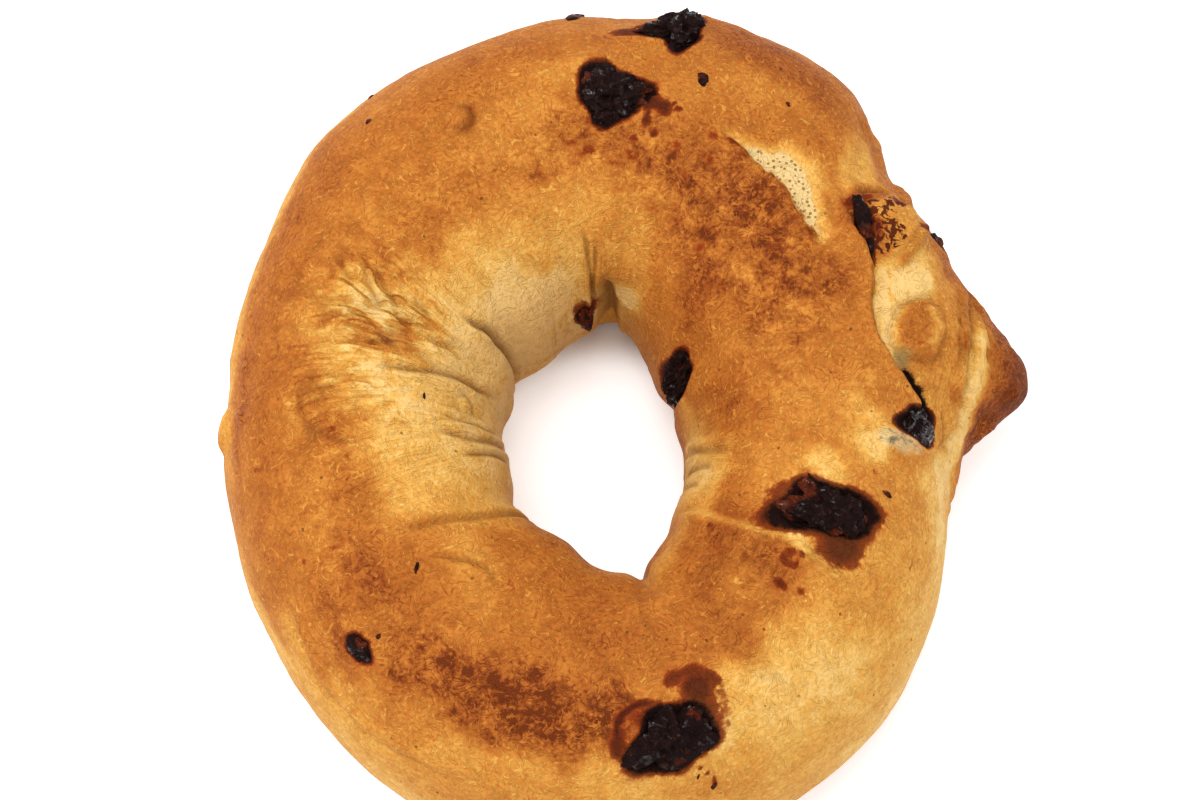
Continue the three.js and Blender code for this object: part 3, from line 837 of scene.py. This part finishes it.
def bubbles(crust):
    """Small raised bubbles and nubs, each with a ring of painted shade at its foot, darker on one side."""
    crust.lift += 0.9 * crust.dab(181, 16, 2.9, 2.4, 0.5, 1.3)
    for angle, rise, width, height in ((116, 80, 1.6, 1.1), (182, 138, 1.2, 0.45),
                                       (183, 74, 1.6, 0.5), (170, 62, 1.4, 0.3)):
        distance = crust.spot(angle, rise, width, width)
        crust.lift += height * (bell(distance, 1) - 0.5 * bell(distance, 0.35, 1.4))
        along, over, _ = crust.near(angle, rise)
        shaded = 0.2 + 0.8 * ramp(-0.5, 1.2, (over - along) / width)
        crust.raise_tone("fold", height * shaded * bell(distance, 0.38, 1.25))


def seated_fruit(crust):
    """A hollow for each fruit piece with a low uneven rim, and the pulp and juice that spread round it."""
    ragged = 0.9 * lumps(crust.plain, 3.0, 61, 3)
    for seed, fruit in enumerate(FRUIT.values(), start=1):
        half_u, half_v = fruit["size"][0] / 2, fruit["size"][1] / 2
        mean = (half_u + half_v) / 2
        share = crust.spot(*fruit["at"], half_u, half_v, fruit["turn"], fruit["lobes"], seed)
        beyond = (share - 1) * mean + 0.6 * ragged
        crust.lift += 0.3 * np.exp(-((beyond - 0.9) ** 2) / 0.8) - 0.8 * (1 - ramp(-1.8, 0.2, beyond))
        crust.raise_tone("pulp", 0.9 - ramp(-0.6, fruit["caked"] + 0.5, beyond))
        crust.raise_tone("juice", 1.15 * np.exp(-np.maximum(beyond, 0) / fruit["halo"]))
    for angle, rise, half_along, half_over, strength in STAINS:
        distance = crust.spot(angle, rise, half_along, half_over) + 0.5 * ragged / (half_along + half_over)
        crust.raise_tone("juice", strength * (1 - ramp(0.1, 1.4, distance)))
    uneven = 1 + 0.9 * lumps(crust.plain, 1.8, 67, 2)
    for places, half_width, strength in JUICE_LINES:
        distance, _, share = crust.trail(places, 5)
        drawn = strength * eased_ends(share, 0.15, 0.15)
        crust.raise_tone("juice", drawn * (1 - ramp(0.2, 2.0, distance / (half_width * uneven))))


def baked_tones(crust):
    """The bake over the crust: ovals laid over an even gold, the mottling, the brown arc, and the shifts."""
    crust.tone("bake", 0.60)
    for angle, rise, half_round, half_over, value in BAKED:
        crust.bake(crust.patch(angle, rise, half_round, half_over), value)
    mottle = crust.tone("mottle")
    mottle += crust.patch(46, 109, 42, 22)
    mottle += 0.8 * crust.patch(92, 104, 14, 12) + 0.4 * crust.patch(125, 98, 22, 12)
    arc = ((186, 76), (200, 76), (212, 74), (222, 68), (232, 66), (242, 69), (252, 68), (262, 70), (271, 74),
           (278, 82))
    distance, _, share = crust.trail(arc, 16)
    band = 1 - ramp(1.5, 7.0, distance + 2.2 * lumps(crust.plain, 4, 63, 3))
    band = band * eased_ends(share, 0.2, 0.05)
    crust.bake(0.9 * band, 0.69 + 0.24 * ramp(0.3, 0.75, share))
    mottle += band * (0.4 + 0.6 * ramp(0.3, 0.6, share))
    np.clip(mottle, 0, 1, out=mottle)
    # The shifts are partly painted light, on the hole's wall and on the front of the outer side.
    for angle, rise, half_round, half_over, shift in BAKE_SHIFTS:
        crust.tone("bake")[...] += shift * crust.patch(angle, rise, half_round, half_over, 0.6)


# ---------------------------------------------------------------------------------------------------------
# Meshes
# ---------------------------------------------------------------------------------------------------------


def grid_faces(rows, columns, wrap_rows=True):
    """Quads of a grid whose columns close on themselves, and whose rows do too if wrap_rows."""
    row = np.arange(rows if wrap_rows else rows - 1)[:, None]
    column = np.arange(columns)[None, :]
    after_row, after_column = (row + 1) % rows, (column + 1) % columns
    corners = (row, column), (after_row, column), (after_row, after_column), (row, after_column)
    return np.stack([r * columns + c for r, c in corners], axis=-1).reshape(-1, 4)


def make_piece(name, points, quads, triangles=(), tones=None, material=None):
    """A mesh object in metres from points in millimetres, with a float attribute for each tone."""
    mesh = bpy.data.meshes.new(name)
    faces = [tuple(face) for face in quads] + [tuple(face) for face in triangles]
    mesh.from_pydata((points.reshape(-1, 3) * MM).tolist(), [], faces)
    mesh.shade_smooth()
    for tone, values in (tones or {}).items():
        attribute = mesh.attributes.new(tone, "FLOAT", "POINT")
        attribute.data.foreach_set("value", values.reshape(-1).astype(np.float32))
    piece = bpy.data.objects.new(name, mesh)
    bpy.context.scene.collection.objects.link(piece)
    mesh.materials.append(material)
    return piece


def onto_crust(at, along, over, out):
    """Points at offsets in mm from a place on the crust, that follow it.

    The offset along the ring becomes a turn round it, the one over the section becomes a rise, and the one
    outwards is laid along the crust's normal there.
    """
    angle, rise = at
    per_turn = np.linalg.norm(crust_point(angle + 1, rise) - crust_point(angle - 1, rise)) / 2
    per_rise = np.linalg.norm(crust_point(angle, rise + 1) - crust_point(angle, rise - 1)) / 2
    angle, rise = angle + along / per_turn, rise + over / per_rise
    return crust_point(angle, rise) + out[:, None] * crust_axes(angle, rise)[2]


def ball_faces(rows, columns):
    """The quads between a ball's rows of points, and the triangles from its last two points, the poles."""
    top, bottom, column = rows * columns, rows * columns + 1, np.arange(columns)
    after, last = (column + 1) % columns, (rows - 1) * columns
    top_cap = np.stack([np.full(columns, top), column, after], axis=-1)
    bottom_cap = np.stack([np.full(columns, bottom), last + after, last + column], axis=-1)
    return grid_faces(rows, columns, wrap_rows=False), np.concatenate([top_cap, bottom_cap])


def crushed_ball(at, size, turn, lobes, seed, sunk=0.0, wet=0.0, rows=72, columns=108, crumple=1.0):
    """A crushed fruit piece: a crumpled ball with a lobed outline and closed poles that follows the crust.

    Its radius is multiplied by broad lumps and the crests of two folded noises. It is then turned, sunk and
    carried to the crust. Its red tone is 1 at the reddened places and eases to 0 round them.
    """
    height = np.linspace(0, np.pi, rows + 2)[1:-1, None]
    round_ = np.linspace(0, 2 * np.pi, columns, endpoint=False)[None, :]
    level = np.cos(height) + 0 * round_
    ring = np.stack([np.sin(height) * np.cos(round_), np.sin(height) * np.sin(round_), level], axis=-1)
    ball = np.concatenate([ring.reshape(-1, 3), [[0, 0, 1], [0, 0, -1]]])
    half = np.array(size) / 2
    outline = lobed_outline(np.arctan2(ball[:, 1], ball[:, 0]), lobes, seed)
    ball = ball * np.stack([outline, outline, np.ones(len(ball))], axis=-1)
    rough = ball * half + 50 * seed
    broad = lumps(rough, 3.0, seed, 2)
    folds = crest(lumps(rough, 1.7, seed + 7, 2), 2)
    grain = crest(lumps(rough, 0.7, seed + 9, 2), 2)
    swell = 0.92 + crumple * (0.22 * broad + 0.30 * (folds - 0.5) + 0.12 * (grain - 0.5))
    ball = ball * swell[:, None] * half
    turned = math.radians(turn)
    u = ball[:, 0] * math.cos(turned) - ball[:, 1] * math.sin(turned)
    v = ball[:, 0] * math.sin(turned) + ball[:, 1] * math.cos(turned)
    points = onto_crust(at, u, v, ball[:, 2] - sunk)
    red = np.zeros(len(points))
    for angle, rise, radius in REDDENED:
        away = np.linalg.norm(points - crust_point(angle, rise), axis=-1)
        red = np.maximum(red, 1 - ramp(0.4 * radius, radius, away + 0.3 * radius * broad))
    tones = {"fold": folds, "red": red, "wet": np.full(len(points), wet)}
    return points, *ball_faces(rows, columns), tones


# In this order, because some of them cover what others have laid down.
FEATURES = (
    baked_tones, uneven_dough, uneven_outlines, rope_tail, outer_strand, lapped_edge, torn_crumb, thin_dome,
    orange_blister, dark_crack, folded_hole, lower_lap, pale_flap, low_fold, bubbles, pulled_strands,
    drawn_skin, curled_wrinkles, swirled_skin, pinched_dough, seated_fruit,
)


def make_bread(material):
    """The dough as one closed mesh, with each feature laid on its grid in turn. Returns the grid."""
    crust = Crust()
    for lay_on in FEATURES:
        lay_on(crust)
    quads = grid_faces(RING_STEPS, SECTION_STEPS)
    piece = make_piece("bread", crust.finish(), quads, tones=crust.tones, material=material)
    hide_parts("bread_ring")
    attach(piece, "root")
    return crust


def make_fruit(material):
    """A crushed ball in place of each fruit node, sunk by a share of its thickness and by the wall's push."""
    for seed, (node, fruit) in enumerate(FRUIT.items(), start=1):
        angle, rise = fruit["at"]
        sunk = FRUIT_SINK * fruit["size"][2] - hole_push(math.radians(angle), rise)
        wet = fruit.get("wet", 0.0)
        shape = crushed_ball(fruit["at"], fruit["size"], fruit["turn"], fruit["lobes"], seed, sunk, wet)
        piece = make_piece(node.replace("berry", "fruit"), *shape, material)
        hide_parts(node)
        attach(piece, "root")


def make_flecks(crust, material):
    """The flecks are one mesh of small crumpled flakes, each bedded in the crust by half its thickness."""
    shapes = []
    for seed, (angle, rise, along, over) in enumerate(FLECKS, start=40):
        size = (along, over, 0.35 + 0.2 * min(along, over))
        lobes = ((97 * seed, 0.5, 5), (97 * seed + 130, 0.4, 6), (97 * seed + 240, -0.2, 6))
        sunk = -crust.lift_at(angle, rise)
        place = (angle, rise)
        shape = crushed_ball(place, size, 37 * seed, lobes, seed, sunk, rows=14, columns=20, crumple=1.3)
        shapes.append(shape)
    points, quads, caps, tones = zip(*shapes)
    first = np.arange(len(points)) * len(points[0])
    quads, caps = (np.concatenate([f + start for f, start in zip(faces, first)]) for faces in (quads, caps))
    tones = {name: np.concatenate([tone[name] for tone in tones]) for name in tones[0]}
    tones["red"] += 0.6
    piece = make_piece("fruit_flecks", np.concatenate(points), quads, caps, tones, material)
    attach(piece, "root")


# ---------------------------------------------------------------------------------------------------------
# Materials
# ---------------------------------------------------------------------------------------------------------


class Wire:
    """A node's output; arithmetic on it adds Math nodes to its material."""

    def __init__(self, paint, socket):
        self.paint = paint
        self.socket = socket

    def math(self, operation, *values):
        """The output of a new Math node on the values."""
        return self.paint.node("ShaderNodeMath", {"operation": operation}, dict(enumerate(values)))

    def __add__(self, other):
        return self.math("ADD", self, other)

    def __radd__(self, other):
        return self.math("ADD", other, self)

    def __sub__(self, other):
        return self.math("SUBTRACT", self, other)

    def __rsub__(self, other):
        return self.math("SUBTRACT", other, self)

    def __mul__(self, other):
        return self.math("MULTIPLY", self, other)

    def __rmul__(self, other):
        return self.math("MULTIPLY", other, self)

    def __abs__(self):
        return self.math("ABSOLUTE", self)

    def sine(self):
        return self.math("SINE", self)

    def step(self, low, high):
        """A smooth step from 0 at low to 1 at high."""
        settings = {"interpolation_type": "SMOOTHSTEP"}
        inputs = {"Value": self, "From Min": low, "From Max": high}
        return self.paint.node("ShaderNodeMapRange", settings, inputs)


class Paint:
    """A material whose nodes are added from Python expressions."""

    def __init__(self, name):
        self.material = bpy.data.materials.new(name)
        self.material.use_nodes = True
        self.tree = self.material.node_tree
        self.tree.nodes.clear()
        self.place = self.node("ShaderNodeTexCoord", {}, {}, "Object")

    def node(self, kind, settings, inputs, output=0):
        """Adds a node: its settings first, then the values or wires of its sockets. Returns one output."""
        made = self.tree.nodes.new(kind)
        for name, value in settings.items():
            if name == "stops":
                self.fill_ramp(made.color_ramp, value)
            else:
                setattr(made, name, value)
        for name, value in inputs.items():
            if isinstance(value, Wire):
                self.tree.links.new(value.socket, made.inputs[name])
            else:
                made.inputs[name].default_value = value
        return Wire(self, made.outputs[output])

    def fill_ramp(self, ramp_, stops):
        """Gives a colour ramp its stops, each a place from 0 to 1 and a colour."""
        while len(ramp_.elements) < len(stops):
            ramp_.elements.new(1.0)
        for element, (place, colour) in zip(ramp_.elements, stops):
            element.position = place
            element.color = (*colour, 1)

    def tone(self, name):
        """A tone that the mesh carries."""
        return self.node("ShaderNodeAttribute", {"attribute_name": name}, {}, "Fac")

    def noise(self, size, detail=3.0, roughness=0.55, distortion=0.0):
        """Noise from 0 to 1 with lumps about size millimetres across."""
        inputs = {"Vector": self.place, "Scale": 1 / (size * MM), "Detail": detail, "Roughness": roughness,
                  "Distortion": distortion}
        return self.node("ShaderNodeTexNoise", {}, inputs, 0)

    def streaks(self, width, length, detail=3.0):
        """Noise from 0 to 1 drawn out along the skin's own lengths, width by length millimetres."""
        across, along = self.tone("streak_across") * (1 / width), self.tone("streak_along") * (1 / length)
        place = self.node("ShaderNodeCombineXYZ", {}, {"X": across, "Y": along})
        return self.node("ShaderNodeTexNoise", {}, {"Vector": place, "Scale": 1.0, "Detail": detail}, 0)

    def cells(self, size, output="Distance"):
        """Distance to the nearest of scattered points about size millimetres apart, or another output."""
        inputs = {"Vector": self.place, "Scale": 1 / (size * MM)}
        return self.node("ShaderNodeTexVoronoi", {}, inputs, output)

    def mix(self, factor, first, second):
        """A colour between two, by a factor from 0 to 1."""
        first, second = ((*c, 1) if isinstance(c, tuple) else c for c in (first, second))
        return self.node("ShaderNodeMix", {"data_type": "RGBA"}, {0: factor, 6: first, 7: second}, 2)

    def ramp(self, value, stops):
        """The colour at a value on a ramp of stops."""
        return self.node("ShaderNodeValToRGB", {"stops": stops}, {"Fac": value}, "Color")

    def bump(self, height, depth):
        """A bump of a height from 0 to 1, depth millimetres tall."""
        inputs = {"Height": height, "Distance": depth * MM, "Strength": 1.0}
        return self.node("ShaderNodeBump", {}, inputs, "Normal")

    def finish(self, **inputs):
        """Joins the inputs to a Principled shader and the shader to the output."""
        named = {name.replace("_", " "): value for name, value in inputs.items()}
        shader = self.node("ShaderNodeBsdfPrincipled", {}, named, "BSDF")
        output = self.tree.nodes.new("ShaderNodeOutputMaterial")
        self.tree.links.new(shader.socket, output.inputs["Surface"])
        return self.material


BAKE_COLOURS = (
    (0.00, (0.70, 0.45, 0.160)),
    (0.15, (0.63, 0.345, 0.078)),
    (0.30, (0.55, 0.250, 0.045)),
    (0.45, (0.47, 0.178, 0.029)),
    (0.60, (0.385, 0.122, 0.019)),
    (0.75, (0.300, 0.082, 0.0135)),
    (0.88, (0.205, 0.045, 0.0085)),
    (1.00, (0.110, 0.022, 0.005)),
)
JUICE_COLOURS = (
    (0.0, (0.36, 0.080, 0.010)),
    (0.5, (0.20, 0.031, 0.006)),
    (1.0, (0.060, 0.0095, 0.004)),
)
PULP = (0.0110, 0.0045, 0.0042)
REDDENED_PULP = (0.085, 0.014, 0.005)
FLESH = (0.20, 0.06, 0.018)
DULL_SKIN = (0.050, 0.022, 0.014)
CRUMB = (0.66, 0.48, 0.23)
CRUMB_SHADE = (0.60, 0.40, 0.15)
# Painted shade: in the crumb's holes, and in creases on pale and on baked crust.
CRUMB_HOLE_SHADE = (0.42, 0.21, 0.05)
PALE_CREASE_SHADE = (0.21, 0.080, 0.013)
BROWN_CREASE_SHADE = (0.17, 0.043, 0.008)
GREY_STAIN = (0.13, 0.11, 0.055)
PALE_STAIN = (0.52, 0.43, 0.23)
BLUE_SMEAR = (0.055, 0.060, 0.052)
SPECKLE = (0.068, 0.010, 0.004)
# Painted shade in the pores.
PORE_SHADE = (0.10, 0.03, 0.006)


def crust_material():
    """Baked crust: gold to red-brown by how far it baked, mottled, with pores, curled wrinkles and stains."""
    paint = Paint("baked_crust")
    broad, middle, fine = paint.noise(9, 4, 0.6), paint.noise(2.2, 4, 0.6), paint.noise(0.55, 3, 0.6)
    speck = paint.noise(1.1, 5, 0.65)
    curl = 1 - abs((paint.noise(2.8, 1.5, 0.5, 1.6) * 20).sine())
    line = curl.step(0.50, 0.95) * middle.step(0.34, 0.56)
    shade = (1 - abs((paint.noise(3.6, 1.0, 0.5, 2.0) * 16).sine())).step(0.60, 1.0)
    shade = shade * (1 - middle).step(0.40, 0.60)
    drawn = paint.tone("streak")
    streaks, threads = paint.streaks(1.5, 9), paint.streaks(0.55, 6)
    thread = crest(threads - 0.5, 6).step(0.3, 1.0) * streaks.step(0.42, 0.60) * drawn
    wrinkles = paint.streaks(1.3, 12, 2)
    wrinkle = crest(wrinkles - 0.5, 9).step(0.3, 1.0) * broad.step(0.35, 0.55) * drawn
    pinch = paint.tone("pinch")
    ridge = crest(paint.streaks(2.6, 7, 2) - 0.5, 6).step(0.1, 0.9)
    ruck = crest(paint.streaks(3.2, 9, 1.5) - 0.5, 12).step(0.3, 1.0)
    mottle = paint.tone("mottle")
    bake = paint.tone("bake")
    tone = bake - 0.02 + (broad - 0.5) * 0.42 + (middle - 0.5) * 0.36 + (fine - 0.5) * 0.42
    tone = tone + (streaks - 0.5) * drawn * 0.28 - thread * 0.10 + wrinkle * 0.09
    tone = tone + ((shade - 0.08) * 0.22 - (line - 0.14) * 0.27) * bake.step(-0.2, 0.6)
    tone = tone + pinch * ((0.35 - ridge) * 0.30 + ruck * 0.34)
    tone = tone + mottle * ((speck - 0.48) * 0.22 + (middle - 0.5) * 0.75 + (broad - 0.5) * 0.35)
    colour = paint.ramp(tone, BAKE_COLOURS)
    # Painted shade in creases, folds and round bubbles: olive-brown on pale crust, dark brown on baked.
    crease = paint.mix(bake.step(0.2, 0.6), PALE_CREASE_SHADE, BROWN_CREASE_SHADE)
    colour = paint.mix(paint.tone("fold") * 0.85, colour, crease)

    crumb = (paint.tone("crumb") + (middle - 0.5) * 0.5).step(0.15, 0.8)
    # Painted shade in the crumb's holes.
    holes = (paint.cells(0.62) + (speck - 0.5) * 0.5).step(0.08, 0.36)
    crumb_colour = paint.mix(holes, CRUMB_HOLE_SHADE, paint.mix(speck, CRUMB_SHADE, CRUMB))
    colour = paint.mix(crumb, colour, crumb_colour)

    colour = paint.mix(paint.tone("grey") * (0.35 + middle * 0.7), colour, GREY_STAIN)
    blue = (paint.tone("blue") + (speck - 0.5) * 1.4).step(0.25, 0.9)
    colour = paint.mix(blue * 0.55, colour, PALE_STAIN)
    smear = paint.noise(1.6, 5, 0.62, 1.2)
    mould = (paint.tone("blue") * 0.5 + (smear - 0.5) * 1.8).step(0.36, 0.80)
    colour = paint.mix(mould * paint.tone("blue").step(0.0, 0.3) * 0.85, colour, BLUE_SMEAR)

    juice = paint.tone("juice")
    juice = juice * (juice + (speck - 0.5) * 1.1 + (middle - 0.5) * 0.5).step(0.1, 0.7)
    colour = paint.mix(juice.step(0.03, 0.62) * 0.95, colour, paint.ramp(juice, JUICE_COLOURS))
    blots = paint.noise(1.0, 2, 0.5, 0.8)
    speckle = (paint.tone("speckle") + (blots - 0.5) * 3.0).step(1.05, 1.25)
    colour = paint.mix(speckle * 0.96, colour, SPECKLE)
    pulp = (paint.tone("pulp") + (speck - 0.5) * 1.1).step(0.30, 0.80)
    colour = paint.mix(pulp, colour, PULP)

    # Pores, darkened with painted shade.
    pick = paint.node("ShaderNodeSeparateColor", {}, {"Color": paint.cells(2.4, "Color")}, 0)
    pores = 1 - (paint.cells(2.4) - pick * 0.05).step(0.015, 0.055)
    pores = pores * pick.step(0.4, 0.9)
    colour = paint.mix(pores * 0.7, colour, PORE_SHADE)

    height = line * 0.3 - shade * 0.1 + fine * 0.5 + middle * 0.7 + streaks * drawn * 0.4 + thread * 0.2
    height = height - wrinkle * 0.35 + pinch * (ridge - ruck) * 1.0
    height = height - pores * 0.5 - (1 - holes) * crumb * 1.2 + pulp * speck * 2.0
    roughness = 0.52 + (fine - 0.5) * 0.25 + crumb * 0.3 - pulp * 0.2
    normal = paint.bump(height, 0.32)
    return paint.finish(Base_Color=colour, Roughness=roughness, Normal=normal, Specular_IOR_Level=0.02)


def fruit_material():
    """Baked blueberry: purple-black skin and pulp, red-brown in places, part glossy and part dull."""
    paint = Paint("baked_fruit")
    speck, fine = paint.noise(1.3, 5, 0.65), paint.noise(0.4, 3, 0.6)
    red = (paint.tone("red") + (speck - 0.5) * 2.2 - paint.tone("fold") * 0.15).step(0.25, 0.75)
    colour = paint.mix(red * 0.9, PULP, REDDENED_PULP)
    flesh = (paint.tone("red") + (fine - 0.5) * 2.0).step(1.0, 1.4)
    colour = paint.mix(flesh * 0.6, colour, FLESH)
    dust = paint.noise(0.9, 3, 0.6, 1.0).step(0.52, 0.70)
    colour = paint.mix(dust * 0.5, colour, DULL_SKIN)
    roughness = 0.35 + speck * 0.5
    normal = paint.bump(speck + fine * 0.7, 0.6)
    gloss = speck.step(0.56, 0.64) * 0.7 + paint.tone("wet") * speck.step(0.40, 0.56)
    return paint.finish(Base_Color=colour, Roughness=roughness, Normal=normal, Specular_IOR_Level=0.03,
                        Coat_Weight=gloss, Coat_Roughness=0.07)


def floor_material():
    """A faintly uneven matt pale floor that glows from below as painted light."""
    paint = Paint("pale_floor")
    colour = paint.mix(paint.noise(60, 2), (0.76, 0.76, 0.76), (0.79, 0.79, 0.79))
    ends = {0: paint.place, 1: tuple(RING_MIDDLE * MM)}
    away = paint.node("ShaderNodeVectorMath", {"operation": "DISTANCE"}, ends, "Value")
    # Full in the hole's middle and outside the ring, dimmed to a painted shadow under the dough round the
    # hole.
    painted_glow_and_shadow_mask = away.step(22 * MM, 16 * MM) + away.step(30 * MM, 40 * MM)
    light = paint.mix(painted_glow_and_shadow_mask, (0.08, 0.08, 0.08), (1, 1, 1))
    return paint.finish(Base_Color=colour, Roughness=0.9, Specular_IOR_Level=0.1, Emission_Color=light,
                        Emission_Strength=0.42)


# ---------------------------------------------------------------------------------------------------------
# Stage
# ---------------------------------------------------------------------------------------------------------

CAMERA_ELEVATION = 68  # degrees above the floor
CAMERA_DISTANCE = 382.5
CAMERA_LENS = 85
AIM = np.array([0.4, 5.8, 15.0])  # from the middle of the hole


def make_floor():
    """One flat square, far wider than the view."""
    half = 3000.0
    corners = np.array([[-half, -half, 0], [half, -half, 0], [half, half, 0], [-half, half, 0]])
    floor = make_piece("floor", corners, [(0, 1, 2, 3)], material=floor_material())


def add_light(name, place, aim, size, power):
    """A square soft box at a place in metres, turned towards a point."""
    lamp = bpy.data.lights.new(name, "AREA")
    lamp.size = size
    lamp.energy = power
    light = bpy.data.objects.new(name, lamp)
    light.location = place
    light.rotation_euler = (Vector(aim) - Vector(place)).to_track_quat("-Z", "Y").to_euler()
    bpy.context.scene.collection.objects.link(light)


def light_stage():
    """An even white world, with a soft box overhead and a weaker one at the left."""
    world = bpy.data.worlds.new("studio")
    world.use_nodes = True
    background = world.node_tree.nodes["Background"]
    background.inputs["Color"].default_value = (1, 1, 1, 1)
    background.inputs["Strength"].default_value = 1.05
    bpy.context.scene.world = world
    add_light("soft_box_above", (-0.12, 0.02, 0.95), (0, 0, 0), 0.45, 4.8)
    add_light("soft_box_side", (-0.6, 0.1, 0.5), (0, 0, 0.02), 0.3, 1.6)
    bpy.context.scene.view_settings.view_transform = "Standard"


def place_camera():
    """The camera looks at AIM from the front, CAMERA_DISTANCE away along a line at CAMERA_ELEVATION."""
    lens = bpy.data.cameras.new("camera")
    lens.lens = CAMERA_LENS
    lens.sensor_width = 36
    lens.clip_start = 0.01
    camera = bpy.data.objects.new("camera", lens)
    elevation = math.radians(CAMERA_ELEVATION)
    back = np.array([0, -math.cos(elevation), math.sin(elevation)])
    camera.location = (AIM + RING_MIDDLE + CAMERA_DISTANCE * back) * MM
    camera.rotation_euler = (math.radians(90 - CAMERA_ELEVATION), 0, 0)
    bpy.context.scene.collection.objects.link(camera)
    bpy.context.scene.camera = camera


place_camera()
make_floor()
light_stage()
bread_crust = make_bread(crust_material())
fruit_skin = fruit_material()
make_fruit(fruit_skin)
make_flecks(bread_crust, fruit_skin)
